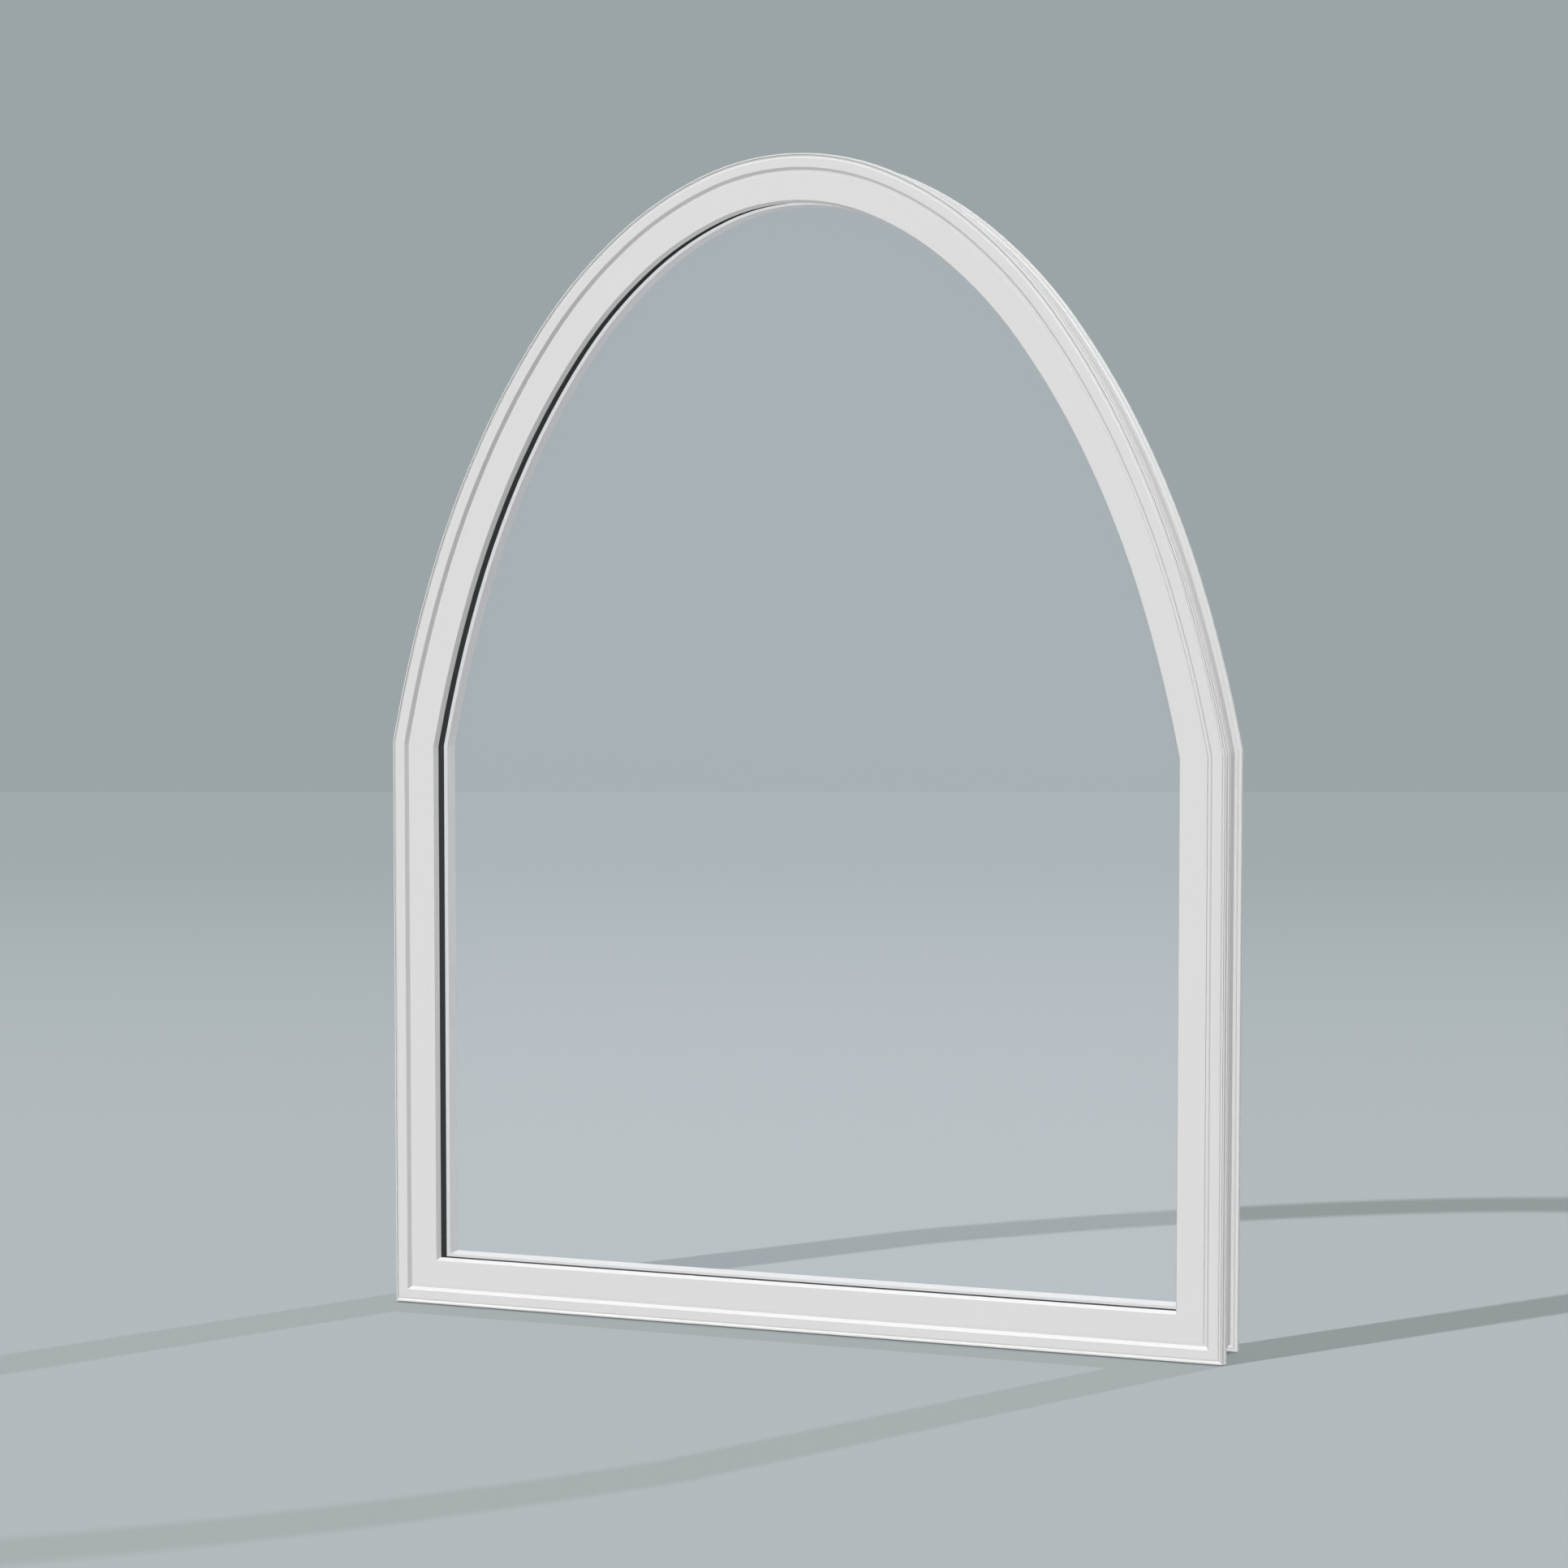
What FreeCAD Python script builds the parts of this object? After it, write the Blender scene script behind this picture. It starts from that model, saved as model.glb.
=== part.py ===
import FreeCAD, Part
import math
import os

# Fixed window with an arched top, in millimetres. +Z is up, the outside face looks along -Y, and the
# origin is on the floor under the middle of the frame.
# The frame, the fixed sash, the glazing stops, the spacer and the gaskets are each four lengths: one along
# the bottom, one up each side and one bent round the arch, mitred where they meet.
# Sections are drawn as (inset, depth) points: inset runs inward from the outermost outline of the window,
# and depth runs back from the front of the frame's rim.

# Overall outline
OVERALL_WIDTH = 914.0
OVERALL_HEIGHT = 1220.4
FRAME_DEPTH = 76.0
SPRING_HEIGHT = 610.0       # where the jambs end and the arch leans in
ARCH_SPREAD = 29.5          # how far past each jamb the arch's ellipse would be at its widest
SPRING_LEAD = 15.0          # straight length at each foot of the arch, for the mitre
ARCH_STATIONS = 3           # points on each half of the ellipse that a pair of arcs runs between
ROUND_STEPS = 3             # flats that stand for a rounded edge of a section

# Frame section: the front head
HEAD_DEPTH = 16.5
RIB_SETBACK = 8.6           # depth where the head steps out to its rib
RIB_LIP_WIDTH = 2.9         # lip along the rib's rear edge, out at the outline
RIB_LIP_STEP = 0.3
BEAD_INSET = 1.2
BEAD_SETBACK = 0.9
BEAD_CREST_WIDTH = 1.3
BEAD_ROUND = 0.4
QUIRK_WIDTH = 0.4           # fine groove between the bead and the cove
QUIRK_DEPTH = 1.8
COVE_WIDTH = 2.1            # hollow between the quirk and the foot of the rim
COVE_DEPTH = 1.4
RIM_ROUND = 1.3
RIM_WIDTH = 10.25           # from the cove to the rim's inner edge
RIM_STEP = 5.2
RIM_DRAFT = 2.65            # how far the rim's inner wall slopes over that step
REVEAL_WIDTH = 2.7          # ledge between the rim's foot and the sash's pocket

# Frame section: the body, the back flange and the lip behind the sash
BODY_INSET = 7.6
FLANGE_THICKNESS = 6.8
FLANGE_EDGE_ROUND = 0.5
FLANGE_LIP_WIDTH = 3.4      # from the flange's edge to its ridge
FLANGE_RIDGE_WIDTH = 3.0
FLANGE_RIDGE_HEIGHT = 1.8
REAR_LEG_WIDTH = 10.8
SASH_LIP_WIDTH = 6.6
SASH_LIP_THICKNESS = 4.2

# Sash section
FIT_GAP = 0.15              # between pieces that slide together
SASH_SETBACK = 2.8          # sash face behind the rim's face
SASH_DEPTH = 48.7
SASH_WALL = 14.5            # from the sash's outer side to the glazing pocket
SASH_EDGE_ROUND = 0.25
GLAZING_LEG_LENGTH = 15.4   # from the pocket to the edge that meets the glass
GLAZING_LEG_THICKNESS = 7.6
GLAZING_LEG_DRAFT = 2.25

# Double-glazed unit and what seats it
PANE_THICKNESS = 3.0
AIR_SPACE = 15.5
GLASS_EDGE_GAP = 3.0        # between the glass and the bottom of its pocket
SPACER_EDGE_GAP = 0.5
SPACER_SIGHT_INSET = 2.6    # the spacer's inner face stands back from the glazing leg's edge
FRONT_GASKET_THICKNESS = 1.0
FRONT_GASKET_WIDTH = 8.0
FRONT_GASKET_SIGHT_INSET = 3.3  # the gasket stands back from the glazing leg's edge
REAR_GASKET_THICKNESS = 2.1
REAR_GASKET_WIDTH = 5.5
REAR_GASKET_SIGHT_INSET = 5.9
STOP_SIGHT_INSET = 0.9      # the stop's front edge stands back from the glazing leg's edge
STOP_DRAFT = 1.1
SETTING_BLOCK_LENGTH = 100.0
SETTING_BLOCK_QUARTER = 0.25  # the blocks are under the quarter points of the glass

# Places that the sections share
QUIRK_START = BEAD_INSET + BEAD_CREST_WIDTH
COVE_START = QUIRK_START + QUIRK_WIDTH
RIM_OUTER = COVE_START + COVE_WIDTH
RIM_INNER = RIM_OUTER + RIM_WIDTH
SASH_POCKET = RIM_INNER + RIM_DRAFT + REVEAL_WIDTH
SASH_OUTER = SASH_POCKET + FIT_GAP
SASH_BACK = SASH_SETBACK + SASH_DEPTH
GLAZING_POCKET = SASH_OUTER + SASH_WALL
SIGHT_LINE = GLAZING_POCKET + GLAZING_LEG_LENGTH
GLASS_EDGE = GLAZING_POCKET + GLASS_EDGE_GAP
FRONT_GASKET_FACE = SASH_SETBACK + GLAZING_LEG_THICKNESS
FRONT_PANE_FACE = FRONT_GASKET_FACE + FRONT_GASKET_THICKNESS
SPACER_FACE = FRONT_PANE_FACE + PANE_THICKNESS
REAR_PANE_FACE = SPACER_FACE + AIR_SPACE
REAR_GASKET_FACE = REAR_PANE_FACE + PANE_THICKNESS
STOP_FACE = REAR_GASKET_FACE + REAR_GASKET_THICKNESS


def quarter_curve(start, end):
    """Quarter of an ellipse that leaves start along the depth and reaches end along the inset."""
    width, height = end[0] - start[0], end[1] - start[1]
    turns = [math.pi / 2 * step / ROUND_STEPS for step in range(ROUND_STEPS + 1)]
    return [(start[0] + width * (1 - math.cos(turn)), start[1] + height * math.sin(turn)) for turn in turns]


def frame_section():
    """Outer frame: moulded front head, body, back flange and the lip that the sash seats against."""
    flange_face = FRAME_DEPTH - FLANGE_THICKNESS
    ridge_end = FLANGE_LIP_WIDTH + FLANGE_RIDGE_WIDTH
    ridge_top = (FLANGE_LIP_WIDTH + FLANGE_RIDGE_WIDTH / 2, flange_face - FLANGE_RIDGE_HEIGHT)
    ridge_outer = quarter_curve((FLANGE_LIP_WIDTH, flange_face), ridge_top)
    ridge_inner = quarter_curve((ridge_end, flange_face), ridge_top)
    leg_inner = BODY_INSET + REAR_LEG_WIDTH
    lip_front = SASH_BACK + FIT_GAP
    lip_back = lip_front + SASH_LIP_THICKNESS
    quirk_floor = BEAD_SETBACK + QUIRK_DEPTH
    cove = quarter_curve((COVE_START, BEAD_SETBACK), (RIM_OUTER, BEAD_SETBACK + COVE_DEPTH))
    rim_edge = quarter_curve((RIM_OUTER, RIM_ROUND), (RIM_OUTER + RIM_ROUND, 0))
    rib_lip_face = HEAD_DEPTH - RIB_LIP_WIDTH
    return [
        *rim_edge,
        (RIM_INNER, 0),
        (RIM_INNER + RIM_DRAFT, RIM_STEP),
        (SASH_POCKET, RIM_STEP),
        (SASH_POCKET, lip_front),
        (SASH_POCKET + SASH_LIP_WIDTH, lip_front),
        (SASH_POCKET + SASH_LIP_WIDTH, lip_back),
        (leg_inner, lip_back),
        (leg_inner, FRAME_DEPTH),
        (FLANGE_EDGE_ROUND, FRAME_DEPTH),
        (0, FRAME_DEPTH - FLANGE_EDGE_ROUND),
        (0, flange_face + FLANGE_EDGE_ROUND),
        (FLANGE_EDGE_ROUND, flange_face),
        *ridge_outer,
        *reversed(ridge_inner[:-1]),
        (BODY_INSET, flange_face),
        (BODY_INSET, HEAD_DEPTH),
        (0, HEAD_DEPTH),
        (0, rib_lip_face),
        (RIB_LIP_STEP, rib_lip_face),
        (RIB_LIP_STEP, RIB_SETBACK),
        (BEAD_INSET, RIB_SETBACK),
        (BEAD_INSET, BEAD_SETBACK + BEAD_ROUND),
        (BEAD_INSET + BEAD_ROUND, BEAD_SETBACK),
        (QUIRK_START, BEAD_SETBACK),
        (QUIRK_START, quirk_floor),
        (COVE_START, quirk_floor),
        *cove,
    ]


def sash_section():
    """Fixed sash: a wide face, a wall beside the glazing pocket and a leg in front of the glass."""
    return [
        (SASH_OUTER, SASH_SETBACK + SASH_EDGE_ROUND),
        (SASH_OUTER + SASH_EDGE_ROUND, SASH_SETBACK),
        (SIGHT_LINE - GLAZING_LEG_DRAFT, SASH_SETBACK),
        (SIGHT_LINE, FRONT_GASKET_FACE),
        (GLAZING_POCKET, FRONT_GASKET_FACE),
        (GLAZING_POCKET, SASH_BACK),
        (SASH_OUTER, SASH_BACK),
    ]


def stop_section():
    """Glazing stop, snapped into the pocket behind the glass."""
    front_edge = SIGHT_LINE - STOP_SIGHT_INSET
    return [
        (GLAZING_POCKET + FIT_GAP, STOP_FACE),
        (front_edge, STOP_FACE),
        (front_edge + STOP_DRAFT, SASH_BACK),
        (GLAZING_POCKET + FIT_GAP, SASH_BACK),
    ]


def strip_section(outer, inner, face, thickness):
    """Plain strip, as the spacer and the gaskets are."""
    return [(outer, face), (inner, face), (inner, face + thickness), (outer, face + thickness)]


def turned_left(direction):
    """The inward normal of a direction of travel round the outline, seen from the front."""
    return FreeCAD.Vector(-direction.z, 0, direction.x)


def arch_points():
    """Points and directions on the right half of the arch's ellipse, from the spring to the top."""
    half_axis = OVERALL_WIDTH / 2 + ARCH_SPREAD
    spring_height_share = math.sqrt(1 - (OVERALL_WIDTH / 2 / half_axis) ** 2)
    rise = (OVERALL_HEIGHT - SPRING_HEIGHT) / (1 - spring_height_share)
    centre_height = OVERALL_HEIGHT - rise
    spring_angle = math.asin(spring_height_share)
    speed = math.hypot(half_axis * math.sin(spring_angle), rise * math.cos(spring_angle))
    first_angle = spring_angle + SPRING_LEAD / speed
    points = []
    for index in range(ARCH_STATIONS + 1):
        angle = first_angle + (math.pi / 2 - first_angle) * index / ARCH_STATIONS
        place = FreeCAD.Vector(half_axis * math.cos(angle), 0, centre_height + rise * math.sin(angle))
        heading = FreeCAD.Vector(-half_axis * math.sin(angle), 0, rise * math.cos(angle))
        points.append((place, heading.normalize()))
    return points


def tangent_arcs(start, start_heading, end, end_heading):
    """Two arcs that leave start and reach end along the given headings and join smoothly."""
    chord = end - start
    headings = start_heading + end_heading
    spread = 2 * (1 - start_heading.dot(end_heading))
    along = chord.dot(headings)
    reach = (math.sqrt(along ** 2 + spread * chord.dot(chord)) - along) / spread
    corner = start + start_heading * reach
    far_corner = end - end_heading * reach
    joint_heading = (far_corner - corner).normalize()
    joint = (corner + far_corner) * 0.5
    return [(start, start_heading, joint), (joint, joint_heading, end)]


def arch_arcs():
    """Every arc of the arch from the right spring to the left: start, heading, end, centre, angle."""
    right = arch_points()
    left = [
        (FreeCAD.Vector(-place.x, 0, place.z), FreeCAD.Vector(heading.x, 0, -heading.z))
        for place, heading in reversed(right[:-1])
    ]
    stations = right + left
    arcs = []
    for (start, start_heading), (end, end_heading) in zip(stations, stations[1:]):
        for place, heading, target in tangent_arcs(start, start_heading, end, end_heading):
            inward = turned_left(heading)
            chord = target - place
            radius = chord.dot(chord) / (2 * inward.dot(chord))
            angle = 2 * math.atan2(inward.dot(chord), heading.dot(chord))
            arcs.append((place, heading, target, place + inward * radius, angle))
    return arcs


ARCS = arch_arcs()
HALF_WIDTH = OVERALL_WIDTH / 2
RIGHT_FOOT, RIGHT_LEAN = ARCS[0][0], ARCS[0][1]
LEFT_FOOT, LEFT_LEAN = ARCS[-1][2], FreeCAD.Vector(RIGHT_LEAN.x, 0, -RIGHT_LEAN.z)
SPRING = RIGHT_FOOT.z - RIGHT_LEAN.z * (RIGHT_FOOT.x - HALF_WIDTH) / RIGHT_LEAN.x
RIGHTWARD = FreeCAD.Vector(1, 0, 0)
UPWARD = FreeCAD.Vector(0, 0, 1)


def corner(place, heading, next_heading):
    """A corner of the outline and the direction in which a mitre runs inward from it."""
    first, second = turned_left(heading), turned_left(next_heading)
    return place, (first + second) * (1 / (1 + first.dot(second)))


LOWER_LEFT = corner(FreeCAD.Vector(-HALF_WIDTH, 0, 0), -UPWARD, RIGHTWARD)
LOWER_RIGHT = corner(FreeCAD.Vector(HALF_WIDTH, 0, 0), RIGHTWARD, UPWARD)
RIGHT_SPRING = corner(FreeCAD.Vector(HALF_WIDTH, 0, SPRING), UPWARD, RIGHT_LEAN)
LEFT_SPRING = corner(FreeCAD.Vector(-HALF_WIDTH, 0, SPRING), LEFT_LEAN, -UPWARD)


def placed(section_point, place, inward):
    """A section's (inset, depth) point at a place on the outline."""
    inset, depth = section_point
    return place + inward * inset + FreeCAD.Vector(0, depth - FRAME_DEPTH / 2, 0)


def placed_section(section, place, inward):
    return [placed(point, place, inward) for point in section]


def polygon_face(points):
    return Part.Face(Part.makePolygon(points + points[:1]))


def straight_piece(section, start, end):
    """A straight length of a section between two corners, or between a corner and an arc's end."""
    near = placed_section(section, *start)
    far = placed_section(section, *end)
    faces = [polygon_face(near), polygon_face(far)]
    for index in range(len(section)):
        faces.append(polygon_face([near[index - 1], near[index], far[index], far[index - 1]]))
    solid = Part.Solid(Part.Shell(faces))
    solid.fix(1e-6, 1e-6, 1e-6)
    return solid


def arched_piece(section):
    """A length of a section bent round the arch, with a short straight lead at each spring."""
    pieces = [straight_piece(section, RIGHT_SPRING, (RIGHT_FOOT, turned_left(RIGHT_LEAN)))]
    for start, heading, end, centre, angle in ARCS:
        face = polygon_face(placed_section(section, start, turned_left(heading)))
        pieces.append(face.revolve(centre, FreeCAD.Vector(0, -1, 0), math.degrees(angle)))
    pieces.append(straight_piece(section, (LEFT_FOOT, turned_left(LEFT_LEAN)), LEFT_SPRING))
    return pieces[0].multiFuse(pieces[1:]).removeSplitter().Solids[0]


def four_lengths(section):
    """Bottom, left, right and arched lengths of one section."""
    return [
        straight_piece(section, LOWER_LEFT, LOWER_RIGHT),
        straight_piece(section, LEFT_SPRING, LOWER_LEFT),
        straight_piece(section, LOWER_RIGHT, RIGHT_SPRING),
        arched_piece(section),
    ]


def pane(face_depth):
    """A sheet of glass with the outline's shape, set in to the glass edge."""
    near = (GLASS_EDGE, face_depth)
    ends = [placed(near, *LOWER_LEFT), placed(near, *LOWER_RIGHT), placed(near, *RIGHT_SPRING)]
    ends.append(placed(near, RIGHT_FOOT, turned_left(RIGHT_LEAN)))
    edges = [Part.LineSegment(a, b).toShape() for a, b in zip(ends, ends[1:])]
    for start, heading, end, centre, angle in ARCS:
        radius = (start - centre).Length - GLASS_EDGE
        level = FreeCAD.Vector(0, face_depth - FRAME_DEPTH / 2, 0)
        bulge = (start + end) * 0.5 - centre
        arc_ends = [centre + (point - centre).normalize() * radius + level for point in (start, end)]
        top = centre + bulge.normalize() * radius + level
        edges.append(Part.Arc(arc_ends[0], top, arc_ends[1]).toShape())
    foot = placed(near, LEFT_FOOT, turned_left(LEFT_LEAN))
    spring = placed(near, *LEFT_SPRING)
    edges.append(Part.LineSegment(foot, spring).toShape())
    edges.append(Part.LineSegment(spring, ends[0]).toShape())
    sheet = Part.Face(Part.Wire(edges))
    return sheet.extrude(FreeCAD.Vector(0, PANE_THICKNESS, 0))


def setting_block(side):
    """A block that carries the glass at a quarter point of the sash's bottom rail; side is -1 or 1."""
    glass_width = OVERALL_WIDTH - 2 * GLASS_EDGE
    middle = side * glass_width * (0.5 - SETTING_BLOCK_QUARTER)
    unit_depth = 2 * PANE_THICKNESS + AIR_SPACE
    low_corner = FreeCAD.Vector(
        middle - SETTING_BLOCK_LENGTH / 2, FRONT_PANE_FACE - FRAME_DEPTH / 2, GLAZING_POCKET)
    return Part.makeBox(SETTING_BLOCK_LENGTH, unit_depth, GLASS_EDGE_GAP, low_corner)


front_inner = SIGHT_LINE - FRONT_GASKET_SIGHT_INSET
front_outer = front_inner - FRONT_GASKET_WIDTH
front_gasket = strip_section(front_outer, front_inner, FRONT_GASKET_FACE, FRONT_GASKET_THICKNESS)
rear_inner = SIGHT_LINE - REAR_GASKET_SIGHT_INSET
rear_outer = rear_inner - REAR_GASKET_WIDTH
rear_gasket = strip_section(rear_outer, rear_inner, REAR_GASKET_FACE, REAR_GASKET_THICKNESS)
spacer_inner = SIGHT_LINE - SPACER_SIGHT_INSET
spacer_outer = GLASS_EDGE + SPACER_EDGE_GAP
spacer = strip_section(spacer_outer, spacer_inner, SPACER_FACE, AIR_SPACE)

families = [
    (frame_section(), ["frame_sill", "frame_left_jamb", "frame_right_jamb", "frame_arched_head"]),
    (sash_section(), ["sash_bottom_rail", "sash_left_stile", "sash_right_stile", "sash_arched_rail"]),
    (stop_section(), ["bottom_stop", "left_stop", "right_stop", "arched_stop"]),
    (spacer, ["bottom_spacer", "left_spacer", "right_spacer", "arched_spacer"]),
    (front_gasket, ["bottom_front_gasket", "left_front_gasket", "right_front_gasket", "arched_front_gasket"]),
    (rear_gasket, ["bottom_rear_gasket", "left_rear_gasket", "right_rear_gasket", "arched_rear_gasket"]),
]

nodes = {}
for section, names in families:
    nodes.update(zip(names, four_lengths(section)))
nodes["front_pane"] = pane(FRONT_PANE_FACE)
nodes["rear_pane"] = pane(REAR_PANE_FACE)
nodes["left_setting_block"] = setting_block(-1)
nodes["right_setting_block"] = setting_block(1)

os.makedirs("parts", exist_ok=True)
for name, shape in nodes.items():
    shape.exportStep(f"parts/{name}.step")
    print(f"{name}: valid {shape.isValid()}, {shape.Volume / 1000:.1f} cm3, {len(shape.Faces)} faces")
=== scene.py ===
import math

import bpy
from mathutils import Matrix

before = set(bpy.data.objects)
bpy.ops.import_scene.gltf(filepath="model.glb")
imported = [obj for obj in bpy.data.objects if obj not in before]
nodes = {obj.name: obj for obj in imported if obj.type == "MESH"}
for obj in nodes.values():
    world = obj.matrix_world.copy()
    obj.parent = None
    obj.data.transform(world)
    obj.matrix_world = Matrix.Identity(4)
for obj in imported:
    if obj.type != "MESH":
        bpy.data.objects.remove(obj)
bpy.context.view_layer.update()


# Outer frame: four lengths of white vinyl, drawn through one die and mitre-welded at the corners and at the
# springs of the arch, with the head bent warm round a former. The skin is satin, with faint lines along the
# draw and a slow change of shine from the cooling bed. The fine groove beside the bead has painted shade:
# its colour turns grey where little light gets in, on the upright and arched lengths only.
class Value:
    """A shader socket in expressions: operators add Math nodes, and node() adds any other node."""

    def __init__(self, socket):
        self.socket = socket
        self.tree = socket.id_data

    def node(self, kind, settings=(), output=0, **inputs):
        """A new node's output; inputs are named as on the node, or by their place, as in _0."""
        made = self.tree.nodes.new(kind)
        for name, setting in dict(settings).items():
            setattr(made, name, setting)
        for name, value in inputs.items():
            key = int(name[1:]) if name[1:].isdigit() else name.replace("_", " ")
            plug(made.inputs[key], value)
        return Value(made.outputs[output])

    def math(self, operation, first, second):
        return self.node("ShaderNodeMath", {"operation": operation}, _0=first, _1=second)

    def __add__(self, other):
        return self.math("ADD", self, other)

    def __radd__(self, other):
        return self.math("ADD", other, self)

    def __rsub__(self, other):
        return self.math("SUBTRACT", other, self)

    def __mul__(self, other):
        return self.math("MULTIPLY", self, other)

    def __rmul__(self, other):
        return self.math("MULTIPLY", other, self)

    def noise(self, scale, detail):
        return self.node("ShaderNodeTexNoise", Vector=self, Scale=scale, Detail=detail)

    def blend(self, first, second):
        """The first colour where this value is 0, the second where it is 1."""
        mix = {"data_type": "RGBA", "clamp_factor": True}
        colours = [colour if isinstance(colour, Value) else (*colour, 1) for colour in (first, second)]
        return self.node("ShaderNodeMix", mix, 2, _0=self, _6=colours[0], _7=colours[1])


def plug(socket, value):
    """Links a shader value to the socket, or sets a plain number or colour on it."""
    if isinstance(value, Value):
        value.tree.links.new(value.socket, socket)
    else:
        socket.default_value = value


def feed(shader, **values):
    """Plugs each value into the shader's socket of that name."""
    for name, value in values.items():
        plug(shader.inputs[name.replace("_", " ")], value)


def new_material(name):
    """A material, its shader, and the object coordinates that its patterns read."""
    material = bpy.data.materials.new(name)
    material.use_nodes = True
    shader = material.node_tree.nodes["Principled BSDF"]
    place = material.node_tree.nodes.new("ShaderNodeTexCoord").outputs["Object"]
    return material, shader, Value(place)


def finish_node(name, material):
    """Gives a CAD node the material."""
    mesh = nodes[name].data
    mesh.materials.clear()
    mesh.materials.append(material)


VINYL_PALE = (0.82, 0.818, 0.817)
VINYL_PALER = (0.848, 0.846, 0.844)
VINYL_ROUGHNESS = 0.26
VINYL_SPECULAR = 0.4
COOLING_SCALE = 7.0
COOLING_DETAIL = 2.0
COOLING_SHARE = 0.6         # of the change of colour; the draw lines make the rest
COOLING_ROUGHNESS = 0.08
DRAW_LINE_PITCH = 0.0012
DRAW_LINE_LENGTH = 0.4
DRAW_LINE_DETAIL = 3.0
DRAW_LINE_DEPTH = 0.00002
DRAW_LINE_BUMP = 0.15
DRAW_LINE_ROUGHNESS = 0.05
PAINTED_GROOVE_SHADE = (0.2, 0.2, 0.2)
GROOVE_REACH = 0.002        # how far off a wall still closes a groove in
GROOVE_SAMPLES = 16
GROOVE_OPEN = 0.35          # openness at which the shade starts
GROOVE_SHUT = 0.1           # openness at which it is full


def vinyl(name, stretch, paint_groove_shade):
    """White satin vinyl: stretch turns the draw lines along the length, the flag paints shade into the fine
    groove.
    """
    material, shader, place = new_material(name)
    along = place.node("ShaderNodeVectorMath", {"operation": "MULTIPLY"}, _0=place, _1=stretch)
    lines = along.noise(1.0, DRAW_LINE_DETAIL)
    cooling = place.noise(COOLING_SCALE, COOLING_DETAIL)
    colour = (COOLING_SHARE * cooling + (1 - COOLING_SHARE) * lines).blend(VINYL_PALE, VINYL_PALER)
    # Painted shade: the colour turns grey in the fine groove, where its walls close round it and little light
    # gets in.
    if paint_groove_shade:
        near = {"samples": GROOVE_SAMPLES, "only_local": True}
        openness = place.node("ShaderNodeAmbientOcclusion", near, "AO", Distance=GROOVE_REACH)
        shade = (GROOVE_OPEN - openness) * (1 / (GROOVE_OPEN - GROOVE_SHUT))
        colour = shade.blend(colour, PAINTED_GROOVE_SHADE)
    feed(
        shader,
        Base_Color=colour,
        Roughness=VINYL_ROUGHNESS + COOLING_ROUGHNESS * cooling + DRAW_LINE_ROUGHNESS * lines,
        Specular_IOR_Level=VINYL_SPECULAR,
        Normal=lines.node("ShaderNodeBump", Height=lines, Distance=DRAW_LINE_DEPTH, Strength=DRAW_LINE_BUMP),
    )
    return material


across = 1 / DRAW_LINE_PITCH
lengthwise = 1 / DRAW_LINE_LENGTH
# Only the upright and arched lengths get the painted groove shade; on the level sill the groove lies open to
# light from above.
level_vinyl = vinyl("level_vinyl", (lengthwise, across, across), paint_groove_shade=False)
upright_vinyl = vinyl("upright_vinyl", (across, across, lengthwise), paint_groove_shade=True)
arched_vinyl = vinyl("arched_vinyl", (lengthwise, across, lengthwise), paint_groove_shade=True)


def finish_lengths(bottom, left, right, arched):
    """Gives each vinyl length of a ring the finish whose draw lines run along it."""
    finish_node(bottom, level_vinyl)
    finish_node(left, upright_vinyl)
    finish_node(right, upright_vinyl)
    finish_node(arched, arched_vinyl)


finish_lengths("frame_sill", "frame_left_jamb", "frame_right_jamb", "frame_arched_head")

# Fixed sash: the same white vinyl in a wider face section, mitre-welded into one ring and fastened to the
# frame from inside the glazing pocket, so no fixing shows.
finish_lengths("sash_bottom_rail", "sash_left_stile", "sash_right_stile", "sash_arched_rail")

# Glazing stops: four more vinyl lengths, cut to a mitre and not welded. They are pressed into the sash behind
# the glass and hold it there.
finish_lengths("bottom_stop", "left_stop", "right_stop", "arched_stop")

# Glass: two sheets of float, held apart by the spacer. The front sheet is clear. The rear one carries a thin
# pale-blue low-heat coating on its inner face, which veils what is behind it a little.
CLEAR_TINT = (0.88, 0.95, 0.94, 1)
CLEAR_VEIL = 0.006
COATING_TINT = (0.81, 0.865, 0.99, 1)
COATING_VEIL = 0.087
GLASS_IOR = 1.52
GLASS_ROUGHNESS = 0.03
FLOAT_WAVE_SCALE = 3.0
FLOAT_WAVE_DETAIL = 2.0
FLOAT_WAVE_ROUGHNESS = 0.02


def float_glass(name, tint, veil):
    """Polished glass with the faint waves of the float bath; veil is how much of the view it takes."""
    material, shader, place = new_material(name)
    waves = place.noise(FLOAT_WAVE_SCALE, FLOAT_WAVE_DETAIL)
    roughness = GLASS_ROUGHNESS + FLOAT_WAVE_ROUGHNESS * waves
    feed(shader, Base_Color=tint, Roughness=roughness, IOR=GLASS_IOR, Alpha=veil)
    return material


finish_node("front_pane", float_glass("clear_glass", CLEAR_TINT, CLEAR_VEIL))
finish_node("rear_pane", float_glass("coated_glass", COATING_TINT, COATING_VEIL))

# Spacer: a black warm-edge strip with its sealant, bonded between the two panes round their edge. It is matt,
# with a fine grain.
SIDES = ("bottom", "left", "right", "arched")
SPACER_BLACK = (0.018, 0.019, 0.02)
SPACER_GREY = (0.024, 0.025, 0.026)
SPACER_ROUGHNESS = 0.6
SPACER_GRAIN_SCALE = 900.0
SPACER_GRAIN_DETAIL = 2.0
GRAIN_ROUGHNESS = 0.15


def matt_black(name, black, grey, roughness, grain_scale, grain_detail):
    """Black stock whose grain varies its shade from black to grey, and its roughness."""
    material, shader, place = new_material(name)
    grain = place.noise(grain_scale, grain_detail)
    feed(shader, Base_Color=grain.blend(black, grey), Roughness=roughness + GRAIN_ROUGHNESS * grain)
    return material


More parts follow.
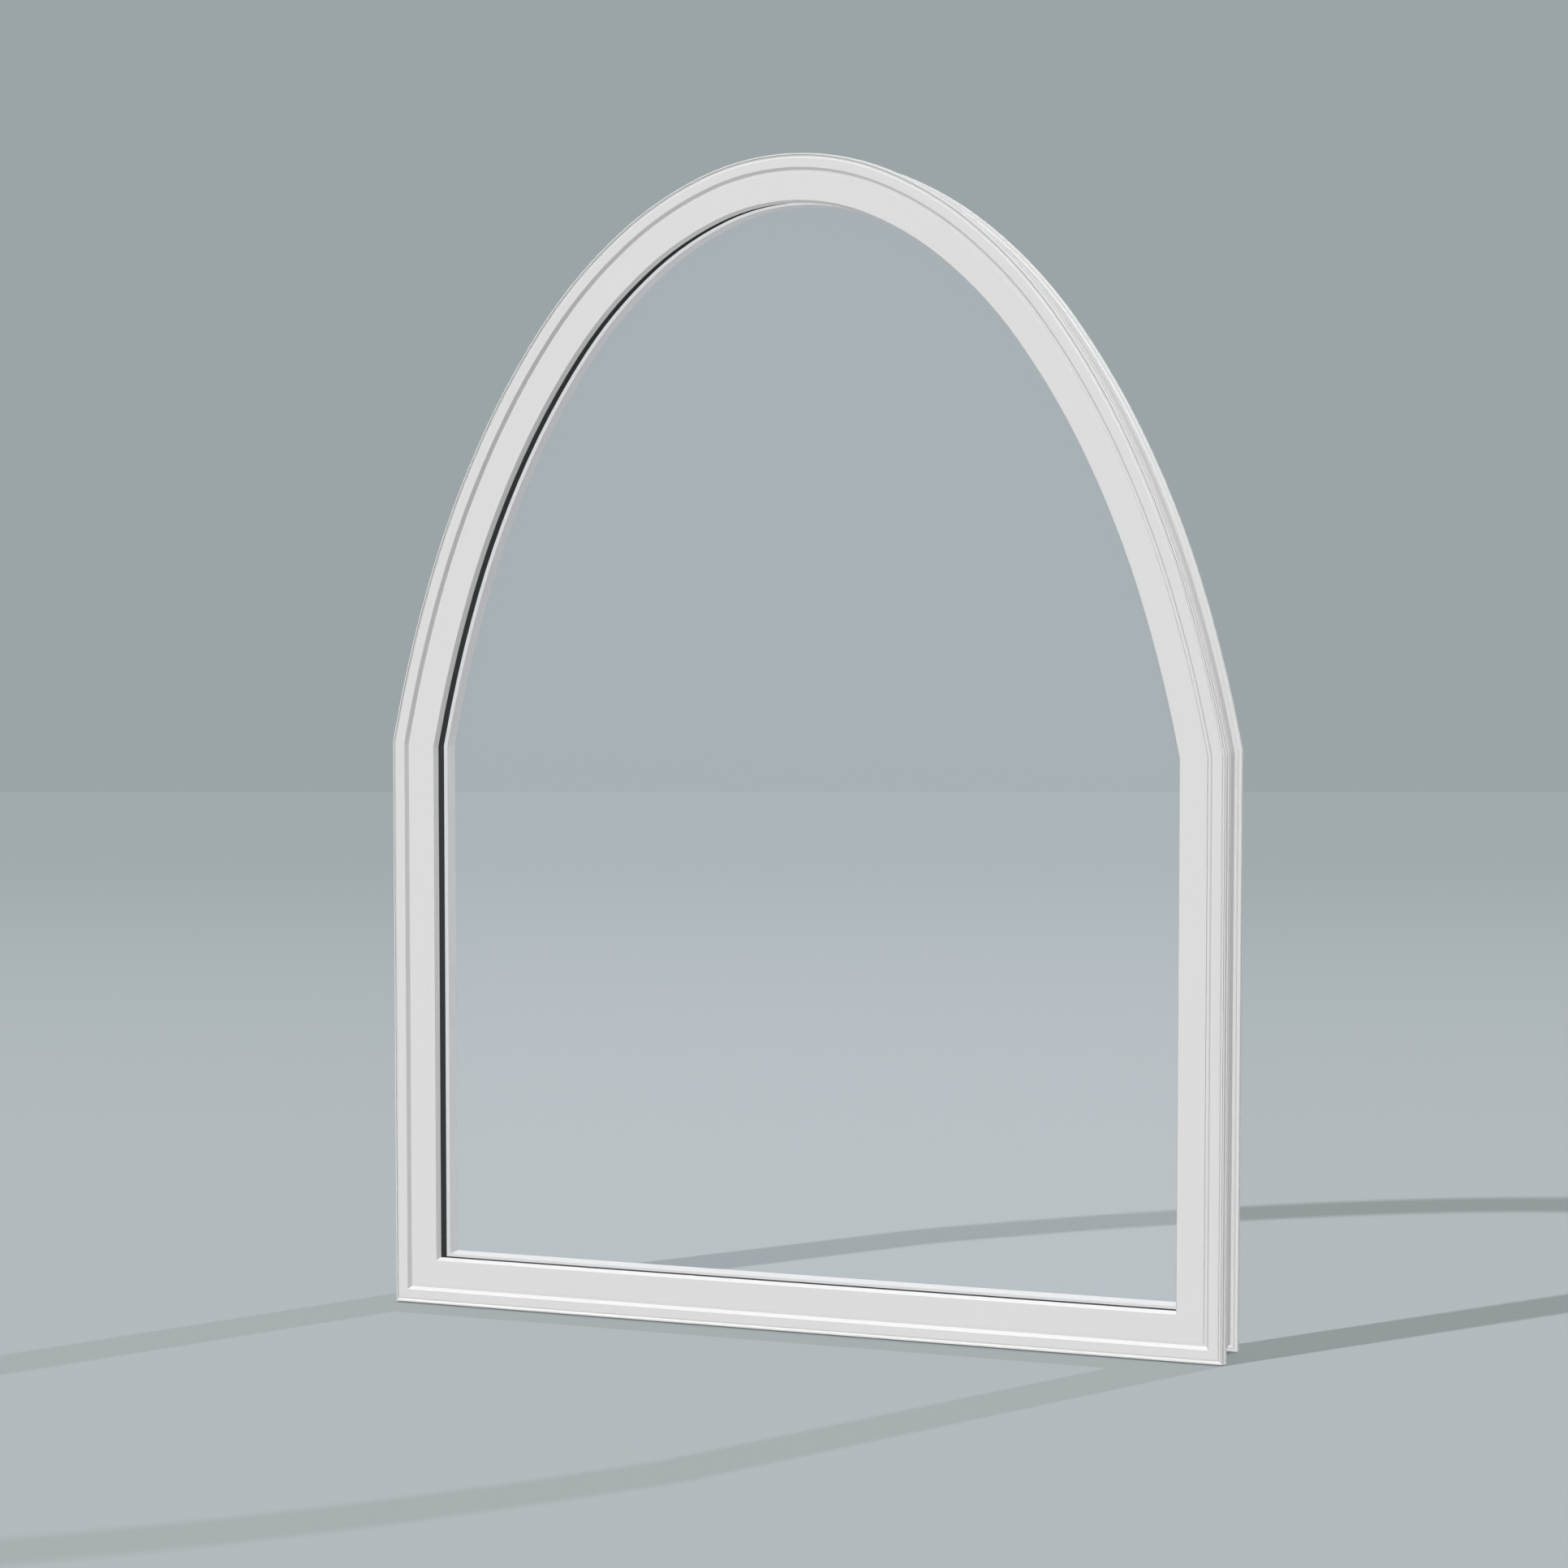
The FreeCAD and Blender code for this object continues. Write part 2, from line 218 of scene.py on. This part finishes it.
spacer_black = matt_black(
    "spacer_black", SPACER_BLACK, SPACER_GREY, SPACER_ROUGHNESS, SPACER_GRAIN_SCALE, SPACER_GRAIN_DETAIL
)
for side in SIDES:
    finish_node(f"{side}_spacer", spacer_black)

# Gaskets and setting blocks: black rubber strips that the sash and the stops press on both faces of the
# glass, and two blocks under its lower edge. Their skin has a faint bloom.
RUBBER_BLACK = (0.018, 0.018, 0.019)
RUBBER_GREY = (0.026, 0.026, 0.027)
RUBBER_ROUGHNESS = 0.7
RUBBER_BLOOM_SCALE = 260.0
RUBBER_BLOOM_DETAIL = 4.0
gasket_rubber = matt_black(
    "gasket_rubber", RUBBER_BLACK, RUBBER_GREY, RUBBER_ROUGHNESS, RUBBER_BLOOM_SCALE, RUBBER_BLOOM_DETAIL
)
for side in SIDES:
    finish_node(f"{side}_front_gasket", gasket_rubber)
    finish_node(f"{side}_rear_gasket", gasket_rubber)
finish_node("left_setting_block", gasket_rubber)
finish_node("right_setting_block", gasket_rubber)

# Floor: a plain pale sheet under the sill, square to the camera. Its paint fades to the backdrop's tone with
# distance.
CAMERA_TURN = math.radians(19.641)
FLOOR_REACH = 9.75
FLOOR_NEAR = (0.412, 0.455, 0.466)
FLOOR_FAR = (0.326, 0.372, 0.382)
FLOOR_ROUGHNESS = 0.9
FLOOR_SPECULAR = 0.1
FADE_START = 0.5
FADE_END = 7.0
bpy.ops.object.select_all(action="DESELECT")
bpy.ops.mesh.primitive_plane_add(size=2 * FLOOR_REACH, rotation=(0, 0, CAMERA_TURN))
floor = bpy.context.object
floor.name = "floor"
floor_paint, floor_shader, floor_place = new_material("floor_paint")
distance = floor_place.node("ShaderNodeSeparateXYZ", output="Y", Vector=floor_place)
smooth = {"interpolation_type": "SMOOTHSTEP"}
fade = distance.node("ShaderNodeMapRange", smooth, Value=distance, From_Min=FADE_START, From_Max=FADE_END)
feed(
    floor_shader,
    Base_Color=fade.blend(FLOOR_NEAR, FLOOR_FAR),
    Roughness=FLOOR_ROUGHNESS,
    Specular_IOR_Level=FLOOR_SPECULAR,
)
floor.data.materials.append(floor_paint)

# Light: a dim sky, and six broad lamps that light every face of the window without shadows, as in a light
# tent. The floor has an even fill and three hard lamps, from overhead, the front left and the back right,
# which draw the frame's shadows. Two more lamps show only as the shine along the vinyl's edges.
SKY = (0.084, 0.084, 0.084)
BACKDROP = (0.328, 0.376, 0.386)
OVERHEAD = (0, 0, 1)
FRONT_LEFT = (-0.456, -0.573, 0.681)
TENT_SPREAD = math.radians(50)
TENT_LAMPS = {
    "top_lamp": ((0.23, -0.08, 0.97), 3.0),
    "front_lamp": ((-0.35, -0.86, 0.36), 0.85),
    "low_front_lamp": ((-0.01, -0.91, -0.41), 1.51),
    "left_lamp": ((-0.98, 0.18, -0.1), 1.19),
    "right_back_lamp": ((0.61, 0.71, 0.34), 0.37),
    "low_back_lamp": ((0.36, 0.76, -0.55), 1.72),
}
FLOOR_FILL_STRENGTH = 0.9
HARD_SPREAD = math.radians(1)
HARD_LAMPS = {
    "floor_top": (OVERHEAD, 0.67),
    "main_lamp": (FRONT_LEFT, 1.72),
    "back_lamp": ((0.38, 0.64, 0.668), 0.65),
}
GLINT_LAMPS = {
    "main_glint": (FRONT_LEFT, 1.0, math.radians(5)),
    "right_glint": ((0.73, -0.15, 0.67), 3.0, math.radians(40)),
}
world = bpy.data.worlds.new("studio")
bpy.context.scene.world = world
world.use_nodes = True
sky = world.node_tree.nodes["Background"]
ray = world.node_tree.nodes.new("ShaderNodeLightPath")
seen = [Value(ray.outputs[f"Is {kind} Ray"]) for kind in ("Camera", "Transmission", "Glossy")]
feed(sky, Color=sum(seen).blend(SKY, BACKDROP), Strength=1.0)


def light_group(name, members):
    """A collection that lamps name as what they light or what shades them."""
    group = bpy.data.collections.new(name)
    for member in members:
        group.objects.link(member)
    return group


def lamp(name, direction, strength, spread, lit, shading=None, glint=False):
    """A distant lamp on one group; the shading group stops its light, and a glint lamp gives only shine."""
    bpy.ops.object.light_add(type="SUN", location=direction)
    made = bpy.context.object
    made.name = name
    x, y, z = direction
    made.rotation_euler = (math.atan2(math.hypot(x, y), z), 0, math.atan2(x, -y))
    made.data.energy = strength
    made.data.angle = spread
    made.data.cycles.max_bounces = 0
    made.data.cycles.use_multiple_importance_sampling = False
    made.data.use_shadow = shading is not None
    made.visible_diffuse = not glint
    made.visible_glossy = glint
    made.light_linking.receiver_collection = lit
    made.light_linking.blocker_collection = shading


window_pieces = light_group("window_pieces", nodes.values())
opaque_pieces = light_group("opaque_pieces", [piece for name, piece in nodes.items() if "pane" not in name])
floor_group = light_group("floor_group", [floor])
for name, (direction, strength) in TENT_LAMPS.items():
    lamp(name, direction, strength, TENT_SPREAD, window_pieces)
lamp("floor_fill", OVERHEAD, FLOOR_FILL_STRENGTH, TENT_SPREAD, floor_group)
for name, (direction, strength) in HARD_LAMPS.items():
    lamp(name, direction, strength, HARD_SPREAD, floor_group, shading=opaque_pieces)
for name, (direction, strength, spread) in GLINT_LAMPS.items():
    lamp(name, direction, strength, spread, window_pieces, glint=True)

# Camera: to the right of the window and a little above its middle, tilted slightly down, with a long lens.
CAMERA_PLACE = (1.1469, -3.2728, 0.7632)
CAMERA_TILT = math.radians(3.168)
VIEW_ANGLE = math.radians(26.514)
bpy.ops.object.camera_add(location=CAMERA_PLACE, rotation=(math.pi / 2 - CAMERA_TILT, 0, CAMERA_TURN))
camera = bpy.context.object
camera.data.angle = VIEW_ANGLE
bpy.context.scene.camera = camera
bpy.context.scene.view_settings.view_transform = "Standard"
